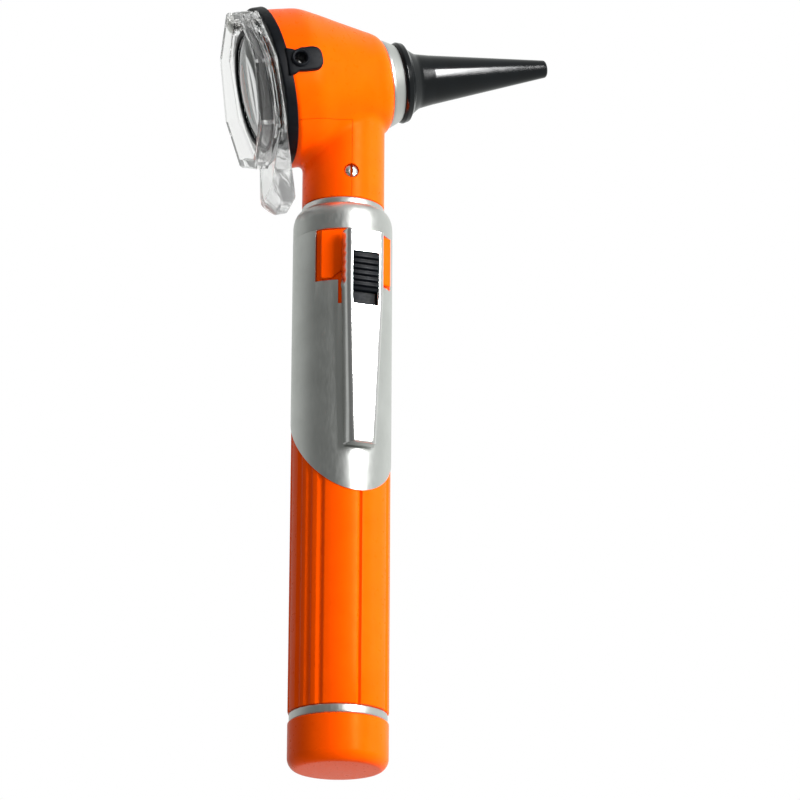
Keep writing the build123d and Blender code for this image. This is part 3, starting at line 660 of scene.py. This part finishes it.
def build_switch():
    outline = [(BUTTON_LOW, BUTTON_BASE_R, 0), (BUTTON_LOW, 13.1, 0.3)]
    for k in range(6):
        centre = 96.4 + 1.2 * k
        outline += [
            (centre - 0.42, 13.25, 0.08),
            (centre - 0.24, 13.85, 0.12),
            (centre + 0.24, 13.85, 0.12),
            (centre + 0.42, 13.25, 0.08),
        ]
    outline += [(BUTTON_HIGH, 13.3, 0.3), (BUTTON_HIGH, BUTTON_BASE_R, 0)]
    points = [(p.y, p.x) for p in soften(outline, 3)]
    body = prism("button", points, CLIP_SIDE * -2.42, CLIP_OUT, UP, CLIP_SIDE * 5.36)
    bevel(body, 0.08, 2, 60)
    outline = [(-3.0, 89.6), (3.25, 89.6), (3.25, 106.3), (-3.0, 106.3)]
    plate = prism("plate", outline, CLIP_OUT * 11.4, CLIP_SIDE, UP, CLIP_OUT * 0.8)
    bevel(plate, 0.15, 2)
    outline = [(-1.5, 97.0), (1.5, 97.0), (1.5, 102.0), (-1.5, 102.0)]
    stem = prism("stem", outline, CLIP_OUT * 8.6, CLIP_SIDE, UP, CLIP_OUT * 1.7)
    finish_piece(merge(body, plate, stem), "switch_button")


# --- Head -----------------------------------------------------------------------------------
BARREL = (
    (-18.0, 1.25, 16.45),
    (-12.0, 1.18, 16.38),
    (-8.7, 1.20, 16.10),
    (-5.0, 1.05, 14.85),
    (0.0, 0.60, 13.00),
    (4.4, 0.16, 11.45),
    (7.2, 0.0, 10.25),
    (8.2, 0.0, 9.45),
)
NECK_R = 8.4
NECK_LOW = 117.0
WALL = 1.8
FRONT = 8.2
FRONT_BORE = 7.9
PORT_ALONG = -12.6
PORT_LIFT = 1.0
BLEND_REAR = 2.0
BLEND_FRONT = 0.9
PARTING_GAP = 0.08
NECK_TOP_LIFT = -8.7
SCREW_HEIGHT = 122.7
TOWARD_CLIP = Vector((0, -1, 0))


def smooth_curve(stations, values):
    """Function through the given values, with slopes taken from each station's neighbours."""
    x, y = np.array(stations), np.array(values)
    slopes = np.gradient(y, x)

    def at(t):
        t = np.clip(t, x[0], x[-1])
        i = np.clip(np.searchsorted(x, t) - 1, 0, len(x) - 2)
        h = x[i + 1] - x[i]
        w = (t - x[i]) / h
        return (
            (2 * w**3 - 3 * w**2 + 1) * y[i]
            + (w**3 - 2 * w**2 + w) * h * slopes[i]
            + (3 * w**2 - 2 * w**3) * y[i + 1]
            + (w**3 - w**2) * h * slopes[i + 1]
        )

    return at


LIFT_AT = smooth_curve([row[0] for row in BARREL], [row[1] for row in BARREL])
RADIUS_AT = smooth_curve([row[0] for row in BARREL], [row[2] for row in BARREL])


def soft_max(a, b, width):
    """Larger of two fields, rounded where they cross."""
    h = np.clip(0.5 + 0.5 * (a - b) / width, 0, 1)
    return b * (1 - h) + a * h + width * h * (1 - h)


def shell_field(points):
    """Signed field of the orange shell: negative inside its wall and its neck."""
    nose, up, eye = (np.array(v) for v in (NOSE, NOSE_UP, EYE))
    local = points - np.array(NOSE_POINT)
    along, lift, side = local @ nose, local @ up, points[:, 1]
    lifted = lift - LIFT_AT(along)
    from_axis = np.hypot(side, lifted)
    from_eye = points - np.array(EYE_POINT)
    eye_depth = from_eye @ eye
    rim = np.hypot(side, from_eye @ np.array(EYE_UP)) - 16.45 - 0.9 * np.maximum(eye_depth, 0)
    barrel = np.maximum(from_axis - RADIUS_AT(along), rim)
    neck = np.hypot(points[:, 0], points[:, 1]) - NECK_R
    neck = np.maximum(neck, lift + 8.6)
    rearward = np.clip(0.5 - points[:, 0] / 6, 0, 1)
    blend = BLEND_FRONT + (BLEND_REAR - BLEND_FRONT) * rearward**2 * (3 - 2 * rearward)
    body = -soft_max(-barrel, -neck, blend)
    rear = -eye_depth - 0.4
    body = soft_max(body, rear, 0.25)
    body = soft_max(body, along - FRONT, 1.0)
    body = soft_max(body, NECK_LOW - points[:, 2], 0.25)
    cavity = from_axis - (RADIUS_AT(along) - WALL)
    cavity = np.maximum(cavity, along - 4.2)
    bore = np.maximum(np.hypot(side, lift) - FRONT_BORE, 3.9 - along)
    return np.maximum(body, -np.minimum(cavity, bore))


def project_to_field(points, rounds=6, reach=0.6):
    """Moves points along the field's slope until they lie on its surface."""
    step = 0.02
    for _ in range(rounds):
        value = shell_field(points)
        slope = np.zeros_like(points)
        for axis in range(3):
            shift = np.zeros(3)
            shift[axis] = step
            slope[:, axis] = (shell_field(points + shift) - shell_field(points - shift)) / (2 * step)
        size = np.maximum((slope**2).sum(1), 0.2)
        move = np.clip(value / size, -reach, reach)
        points = points - slope * move[:, None]
    return points


def parting_region(grow):
    """Block that holds the rear half of the neck, grown past the parting line."""
    height = AXIS_HEIGHT - 10.3 / NOSE.x + grow
    outline = [(grow, 110.0), (grow, height), (-30.0, height - 30.0 * NOSE.z / NOSE.x), (-30.0, 110.0)]
    return prism("region", outline, Vector((0, -30, 0)), Vector((1, 0, 0)), UP, Vector((0, 60, 0)))


def side_hole(centre, radius, start, end):
    """Round cutter toward the clip's side, between two distances from the centre."""
    corners = [(start, 0.0, 0), (start, radius, 0), (end, radius, 0), (end, 0.0, 0)]
    return new_object("hole", *lathe(corners, centre, TOWARD_CLIP, 48))


def build_shell():
    count = 96
    stations = [-11.0, -9.0, -7.0, -5.0, -3.0, -1.0, 1.0, 3.0, 5.0, 6.5, 7.4, 8.2]
    rings = [ring_points(EYE_POINT - EYE * 0.4, SIDE, EYE_UP, lambda a: 16.5, count)]
    for s in stations:
        centre = NOSE_POINT + NOSE * s + NOSE_UP * float(LIFT_AT(s))
        rings.append(ring_points(centre, SIDE, NOSE_UP, lambda a, r=float(RADIUS_AT(s)): r, count))
    for s in (8.2, 4.2):
        rings.append(ring_points(NOSE_POINT + NOSE * s, SIDE, NOSE_UP, lambda a: FRONT_BORE, count))
    for s in (4.2, 1.0, -1.0, -3.0, -5.0, -7.0, -9.0, -11.0):
        centre = NOSE_POINT + NOSE * s + NOSE_UP * float(LIFT_AT(s))
        rings.append(ring_points(centre, SIDE, NOSE_UP, lambda a, r=float(RADIUS_AT(s)) - WALL: r, count))
    rings.append(ring_points(EYE_POINT - EYE * 0.4, SIDE, EYE_UP, lambda a: 14.7, count))
    shell = new_object("shell", *skin(rings))
    low = ring_points(UP * NECK_LOW, Vector((1, 0, 0)), SIDE, lambda a: NECK_R, count)
    high = []
    for p in low:
        height = AXIS_HEIGHT + (NECK_TOP_LIFT + p.x * NOSE.z) / NOSE.x
        high.append(Vector((p.x, p.y, height)))
    verts, faces = skin([low, high], closed=False)
    faces += [tuple(range(count)), tuple(range(count, 2 * count))]
    merge(shell, new_object("neck", verts, faces))
    modifier = shell.modifiers.new("remesh", "REMESH")
    modifier.mode = "VOXEL"
    modifier.voxel_size = 0.34
    modifier.adaptivity = 0.0
    apply_modifiers(shell)
    points = np.array([v.co for v in shell.data.vertices], float)
    points = project_to_field(points)
    shell.data.vertices.foreach_set("co", points.astype(np.float32).ravel())
    shell.data.update()

    screw_hole = side_hole(UP * SCREW_HEIGHT, 1.55, 6.9, 12.0)
    combine(shell, screw_hole, "DIFFERENCE", solver="MANIFOLD")
    port = NOSE_POINT + NOSE * PORT_ALONG + NOSE_UP * PORT_LIFT
    combine(shell, side_hole(port, 1.9, 12.0, 19.0), "DIFFERENCE", solver="MANIFOLD")

    cover = bpy.data.objects.new("cover", shell.data.copy())
    bpy.context.scene.collection.objects.link(cover)
    combine(cover, parting_region(0.0), "INTERSECT", solver="MANIFOLD")
    combine(shell, parting_region(PARTING_GAP), "DIFFERENCE", solver="MANIFOLD")
    finish_piece(shell, "head_shell", sharp=42)
    finish_piece(cover, "head_rear_cover", sharp=42)


def build_set_screw():
    centre = UP * SCREW_HEIGHT
    corners = [(5.4, 0.0, 0), (5.4, 1.3, 0.1), (8.02, 1.3, 0.14), (8.22, 0.7, 0.8), (8.25, 0.0, 0)]
    screw = new_object("screw", *lathe(corners, centre, TOWARD_CLIP, 64))
    outline = [(-0.3, -2), (0.3, -2), (0.3, 2), (-0.3, 2)]
    slot_floor = centre + TOWARD_CLIP * 6.7
    slot = prism("slot", outline, slot_floor, Vector((1, 0, 0)), UP, TOWARD_CLIP * 3)
    finish_piece(combine(screw, slot, "DIFFERENCE"), "set_screw")


def build_neck_ring():
    turned("neck_ring", [(115.72, 6.95, 0), (115.72, 8.55, 0.15), (116.97, 8.42, 0.3), (116.97, 6.95, 0)])


TAB_R = 17.3


def build_rear_plate():
    plate = new_object(
        "plate",
        *lathe(
            [(-2.3, 11.4, 0.2), (-2.3, 16.75, 0.45), (0.0, 16.75, 0.2), (0.0, 11.4, 0.2)],
            EYE_POINT,
            EYE,
            180,
        ),
    )
    outline = [
        (-15.4, 3.6, 0),
        (-14.0, 3.2, 0.8),
        (-13.1, 2.75, 0.9),
        (-12.4, 3.35, 1.6),
        (-7.95, 3.4, 2.45),
        (-7.95, -1.75, 2.45),
        (-12.4, -1.7, 1.4),
        (-13.3, -1.65, 0.8),
        (-14.0, -2.1, 0.8),
        (-15.4, -2.4, 0),
    ]
    points = [(p.x, p.y) for p in soften(outline, 7)]
    tab = prism("tab", points, NOSE_POINT + SIDE * -13.5, NOSE, NOSE_UP, SIDE * -3.0)
    for v in tab.data.vertices:
        lift = (v.co - NOSE_POINT).dot(NOSE_UP) - 1.2
        if v.co.y < -15:
            v.co.y = -math.sqrt(TAB_R**2 - lift**2)
    bevel(tab, 0.35, 3, 50)
    rim = new_object(
        "rim",
        *lathe(
            [
                (12.4, 1.25, 0),
                (12.4, 1.75, 0),
                (15.5, 1.75, 0),
                (15.5, 1.95, 0),
                (17.35, 1.95, 0.2),
                (17.6, 1.6, 0.15),
                (17.45, 1.25, 0.1),
            ],
            NOSE_POINT + NOSE * PORT_ALONG + NOSE_UP * PORT_LIFT,
            Vector((0, -1, 0)),
            64,
        ),
    )
    hole = new_object(
        "port_hole",
        *lathe(
            [(12.0, 0.0, 0), (12.0, 1.5, 0), (19.0, 1.5, 0), (19.0, 0.0, 0)],
            NOSE_POINT + NOSE * PORT_ALONG + NOSE_UP * PORT_LIFT,
            Vector((0, -1, 0)),
            64,
        ),
    )
    combine(tab, hole, "DIFFERENCE")
    finish_piece(merge(plate, tab, rim), "rear_plate")


def build_nose():
    turned(
        "nose_cone",
        [
            (4.25, 6.6, 0.1),
            (4.25, 7.88, 0.1),
            (8.1, 7.88, 0),
            (8.1, 9.2, 0.25),
            (8.7, 9.1, 0.3),
            (11.05, 8.0, 0.2),
            (11.05, 5.2, 0.3),
            (27.0, 2.9, 0.15),
            (27.0, 2.45, 0.05),
            (11.0, 4.75, 0),
        ],
        NOSE_POINT,
        NOSE,
    )


def build_speculum():
    corners = [
        (11.15, 5.45, 0.1),
        (11.12, 8.15, 0.2),
        (11.7, 8.45, 0.35),
        (12.75, 8.2, 0.3),
        (13.5, 7.0, 0.8),
        (15.3, 5.72, 2.4),
        (18.5, 5.15, 2.5),
        (43.6, 1.8, 0.6),
        (43.9, 1.25, 0.12),
        (27.0, 3.15, 0),
    ]
    body = new_object("speculum_body", *lathe(corners, NOSE_POINT, NOSE, 160, 8))
    marks = []
    for lift, low, high in ((1.5, 13.9, 15.4), (-2.3, 14.3, 15.9)):
        outline = [(low, lift - 0.75), (high, lift - 0.75), (high, lift + 0.75), (low, lift + 0.75)]
        mark = prism("mark", outline, NOSE_POINT + SIDE * -4.2, NOSE, NOSE_UP, SIDE * -1.75)
        for v in mark.data.vertices:
            if v.co.y < -5:
                along = (v.co - NOSE_POINT).dot(NOSE)
                reach = 5.78 - 0.26 * (along - low)
                v.co.y = -math.sqrt(reach**2 - lift**2)
        marks.append(bevel(mark, 0.1, 2))
    finish_piece(merge(body, *marks), "speculum")


# --- Magnifier ------------------------------------------------------------------------------
FRAME_FRONT = -2.6
FRAME_BACK = -4.4
RIM_FACE = -21.9
RIM_LIFT = 1.6
PIVOT_LIFT = 14.9


def octagon(size):
    """Radius of an octagon with corners at 0, 45, 90 degrees, as a function of angle."""
    return lambda a: size * math.cos(math.pi / 8) / math.cos(a % (math.pi / 4) - math.pi / 8)


def build_lens_frame():
    count = 64

    def eye_ring(along, radius_at):
        return ring_points(EYE_POINT + EYE * along, SIDE, EYE_UP, radius_at, count)

    def rim_ring(along, radius_at):
        return ring_points(NOSE_POINT + NOSE * along + NOSE_UP * RIM_LIFT, SIDE, NOSE_UP, radius_at, count)

    rings = [
        eye_ring(FRAME_FRONT, octagon(17.2)),
        eye_ring(FRAME_FRONT - 0.35, octagon(17.6)),
        eye_ring(FRAME_BACK + 0.3, octagon(17.6)),
        eye_ring(FRAME_BACK, octagon(17.35)),
        rim_ring(RIM_FACE + 0.45, octagon(17.35)),
        rim_ring(RIM_FACE, octagon(16.9)),
        rim_ring(RIM_FACE, octagon(15.5)),
        rim_ring(RIM_FACE + 0.4, octagon(15.1)),
        eye_ring(FRAME_BACK - 0.25, octagon(15.35)),
        eye_ring(FRAME_BACK + 0.05, octagon(14.9)),
        eye_ring(FRAME_BACK + 0.05, lambda a: 12.75),
        eye_ring(FRAME_BACK + 0.4, lambda a: 12.4),
        eye_ring(FRAME_FRONT - 0.45, lambda a: 12.4),
        eye_ring(FRAME_FRONT - 0.45, lambda a: 11.4),
        eye_ring(FRAME_FRONT, lambda a: 11.4),
    ]
    body = new_object("frame_body", *skin(rings))

    profile = [
        (FRAME_FRONT - 0.02, -11.4, 0),
        (FRAME_BACK + 0.2, -11.4, 0),
        (FRAME_BACK + 0.1, -13.6, 0.5),
        (FRAME_FRONT - 4.2, -21.0, 0.8),
        (FRAME_FRONT - 4.6, -22.6, 0.5),
        (FRAME_FRONT - 4.4, -23.6, 0.5),
        (FRAME_FRONT - 2.9, -26.0, 0.7),
        (FRAME_FRONT - 0.02, -26.0, 0.6),
    ]
    points = [(p.x, p.y) for p in soften(profile, 4)]
    tab = prism("tab", points, EYE_POINT + SIDE * -14, EYE, EYE_UP, SIDE * 28)
    half = [(13.4, -11.0), (11.9, -12.2), (4.9, -25.3), (3.9, -26.4)]
    outline = [(-a, b) for a, b in half] + half[::-1]
    side_cut = prism("side_cut", outline, EYE_POINT + EYE * -9, SIDE, EYE_UP, EYE * 9)
    combine(tab, side_cut, "INTERSECT")
    bevel(tab, 0.35, 3, 30)
    combine(body, tab, "UNION")
    pivot = EYE_POINT + EYE_UP * PIVOT_LIFT
    face = FRAME_FRONT - 0.01
    corners = [(-5.2, 1.1, 0.1), (-5.2, 2.35, 0.3), (face, 2.35, 0), (face, 1.1, 0)]
    boss = new_object("boss", *lathe(corners, pivot, EYE, 48))
    corners = [(-9, 0.0, 0), (-9, 1.6, 0), (0, 1.6, 0), (0, 0.0, 0)]
    hole = new_object("pivot_hole", *lathe(corners, pivot, EYE, 48))
    combine(body, hole, "DIFFERENCE")
    combine(body, boss, "UNION")
    finish_piece(body, "lens_frame", sharp=24)


def build_lens():
    lens_front = FRAME_FRONT - 0.45
    rim = lens_front - 1.0
    corners = [(lens_front, 0.0, 0), (lens_front, 12.35, 0.1), (rim, 12.35, 0.1), (rim, 11.1, 0)]
    reach, crown = 11.1, 1.6
    radius = (reach**2 + crown**2) / (2 * crown)
    half = math.asin(reach / radius)
    for k in range(1, 13):
        angle = half * (1 - k / 12)
        corners.append((rim - crown + radius * (1 - math.cos(angle)), radius * math.sin(angle), 0))
    turned("magnifier_lens", corners, EYE_POINT, EYE, sharp=30)
    turned(
        "lens_ring",
        [(rim - 0.5, 11.4, 0.12), (rim - 0.5, 12.35, 0.12), (rim, 12.35, 0.05), (rim, 11.4, 0.05)],
        EYE_POINT,
        EYE,
    )


def build_pivot():
    origin = EYE_POINT + EYE_UP * PIVOT_LIFT
    screw = new_object(
        "pivot",
        *lathe(
            [
                (-0.2, 0.0, 0),
                (-0.2, 1.05, 0.05),
                (-5.25, 1.05, 0),
                (-5.25, 1.8, 0.1),
                (-5.75, 1.8, 0.35),
                (-6.15, 1.0, 0.6),
                (-6.15, 0.0, 0),
            ],
            origin,
            EYE,
            48,
        ),
    )
    outline = [(-2.2, -0.22), (2.2, -0.22), (2.2, 0.22), (-2.2, 0.22)]
    slot = prism("slot", outline, origin + EYE * -5.75, SIDE, EYE_UP, EYE * -1)
    finish_piece(combine(screw, slot, "DIFFERENCE"), "pivot_screw")


for build in (
    build_end_cap,
    build_lower_ring,
    build_tube,
    build_sleeve,
    build_saddle,
    build_collar,
    build_clip,
    build_switch,
    build_shell,
    build_set_screw,
    build_neck_ring,
    build_rear_plate,
    build_nose,
    build_speculum,
    build_lens_frame,
    build_lens,
    build_pivot,
):
    build()

# --- Floor, light and camera ----------------------------------------------------------------
scene = bpy.context.scene
scene.view_settings.view_transform = "Standard"


def add_floor():
    """Pale floor, seen from above only, so that a view from below still shows the base."""
    mesh = bpy.data.meshes.new("floor")
    reach, level = 1.6, -0.0002
    corners = [(x * reach, y * reach, level) for x, y in ((-1, -1), (1, -1), (1, 1), (-1, 1))]
    mesh.from_pydata(corners, [], [(0, 1, 2, 3)])
    floor = bpy.data.objects.new("floor", mesh)
    scene.collection.objects.link(floor)
    mat = material("floor_pale", (0.86, 0.86, 0.86), 0.6, Emission_Strength=0.5)
    mat.node_tree.nodes["Principled BSDF"].inputs["Emission Color"].default_value = (1, 1, 1, 1)
    nodes, links = mat.node_tree.nodes, mat.node_tree.links
    geometry = nodes.new("ShaderNodeNewGeometry")
    path = nodes.new("ShaderNodeLightPath")
    unseen = nodes.new("ShaderNodeMath")
    unseen.operation = "MAXIMUM"
    clear = nodes.new("ShaderNodeBsdfTransparent")
    mix = nodes.new("ShaderNodeMixShader")
    links.new(geometry.outputs["Backfacing"], unseen.inputs[0])
    aside = nodes.new("ShaderNodeMath")
    aside.operation = "SUBTRACT"
    aside.inputs[0].default_value = 1.0
    links.new(path.outputs["Is Camera Ray"], aside.inputs[1])
    links.new(aside.outputs["Value"], unseen.inputs[1])
    links.new(unseen.outputs["Value"], mix.inputs["Fac"])
    links.new(nodes["Principled BSDF"].outputs["BSDF"], mix.inputs[1])
    links.new(clear.outputs["BSDF"], mix.inputs[2])
    links.new(mix.outputs["Shader"], nodes["Material Output"].inputs["Surface"])
    mesh.materials.append(mat)


def add_world():
    """White room: plain white behind the object, darker light from the viewer's side of it."""
    world = bpy.data.worlds.new("studio")
    scene.world = world
    world.use_nodes = True
    nodes, links = world.node_tree.nodes, world.node_tree.links
    nodes.clear()
    output = nodes.new("ShaderNodeOutputWorld")
    path = nodes.new("ShaderNodeLightPath")
    seen = nodes.new("ShaderNodeBackground")
    seen.inputs["Color"].default_value = (1, 1, 1, 1)
    lit = nodes.new("ShaderNodeBackground")
    lit.inputs["Strength"].default_value = 0.9
    place = nodes.new("ShaderNodeTexCoord")
    facing = nodes.new("ShaderNodeVectorMath")
    facing.operation = "DOT_PRODUCT"
    facing.inputs[1].default_value = (0.662, 0.698, 0.272)
    ramp = nodes.new("ShaderNodeValToRGB")
    elements = ramp.color_ramp.elements
    stops = ((0.0, 0.16), (0.2, 0.20), (0.38, 0.50), (0.7, 0.66), (1.0, 1.0))
    for k, (position, level) in enumerate(stops):
        element = elements[k] if k < 2 else elements.new(position)
        element.position = position
        element.color = (level * 0.97, level, level * 0.975, 1)
    shift = nodes.new("ShaderNodeMapRange")
    shift.inputs["From Min"].default_value = -1
    shift.inputs["From Max"].default_value = 1
    links.new(place.outputs["Generated"], facing.inputs[0])
    links.new(facing.outputs["Value"], shift.inputs["Value"])
    links.new(shift.outputs["Result"], ramp.inputs["Fac"])
    links.new(ramp.outputs["Color"], lit.inputs["Color"])
    white = nodes.new("ShaderNodeMath")
    white.operation = "MAXIMUM"
    links.new(path.outputs["Is Camera Ray"], white.inputs[0])
    inside = nodes.new("ShaderNodeMath")
    inside.operation = "MINIMUM"
    inside.inputs[1].default_value = 1.0
    links.new(path.outputs["Transmission Depth"], inside.inputs[0])
    through = nodes.new("ShaderNodeMath")
    through.operation = "MULTIPLY"
    through.inputs[1].default_value = 0.6
    links.new(inside.outputs["Value"], through.inputs[0])
    links.new(through.outputs["Value"], white.inputs[1])
    mix = nodes.new("ShaderNodeMixShader")
    links.new(white.outputs["Value"], mix.inputs["Fac"])
    links.new(lit.outputs["Background"], mix.inputs[1])
    links.new(seen.outputs["Background"], mix.inputs[2])
    links.new(mix.outputs["Shader"], output.inputs["Surface"])


def add_light(name, place, aim, size, power, gloss=False):
    """Soft rectangular light at place, in metres, turned to aim: for matt light or for gloss."""
    data = bpy.data.lights.new(name, "AREA")
    data.shape = "RECTANGLE"
    data.size, data.size_y = size
    data.energy = power
    light = bpy.data.objects.new(name, data)
    scene.collection.objects.link(light)
    light.visible_glossy = gloss
    light.visible_diffuse = not gloss
    light.location = place
    light.rotation_euler = (Vector(aim) - Vector(place)).to_track_quat("-Z", "Y").to_euler()


CAMERA_PLACE = (-0.1542, -0.7504, -0.1739)
CAMERA_FORWARD = (0.2057, 0.9280, 0.3105)
CAMERA_LEVEL = (0.9763, -0.2164, 0)
CAMERA_ROLL = 0.28


def add_camera():
    """The view of the object from its left and a little below, with a long lens."""
    data = bpy.data.cameras.new("camera")
    data.sensor_width = 36.0
    data.lens = 180.0
    data.clip_end = 20
    camera = bpy.data.objects.new("camera", data)
    scene.collection.objects.link(camera)
    forward = Vector(CAMERA_FORWARD).normalized()
    level = Vector(CAMERA_LEVEL).normalized()
    upward = level.cross(forward)
    roll = math.radians(CAMERA_ROLL)
    right = level * math.cos(roll) + upward * math.sin(roll)
    top = upward * math.cos(roll) - level * math.sin(roll)
    matrix = Matrix((right, top, -forward)).transposed().to_4x4()
    matrix.translation = Vector(CAMERA_PLACE)
    camera.matrix_world = matrix
    scene.camera = camera


MIDDLE = (0, 0, 0.09)
add_floor()
add_world()
add_light("key", (0.42, -0.58, 0.25), MIDDLE, (0.24, 0.45), 5.8)
add_light("side", (0.66, -0.24, 0.25), MIDDLE, (0.24, 0.45), 10.0)
add_light("front", (-0.25, -0.70, 0.12), MIDDLE, (0.30, 0.45), 1.1)
add_light("top", (0.15, 0.10, 0.80), MIDDLE, (0.4, 0.4), 1.2)
add_light("under", (0.30, -0.30, -0.55), MIDDLE, (0.4, 0.3), 1.8)
add_light("strip", (0.34, -0.63, 0.31), MIDDLE, (0.09, 0.44), 7.0, gloss=True)
add_camera()
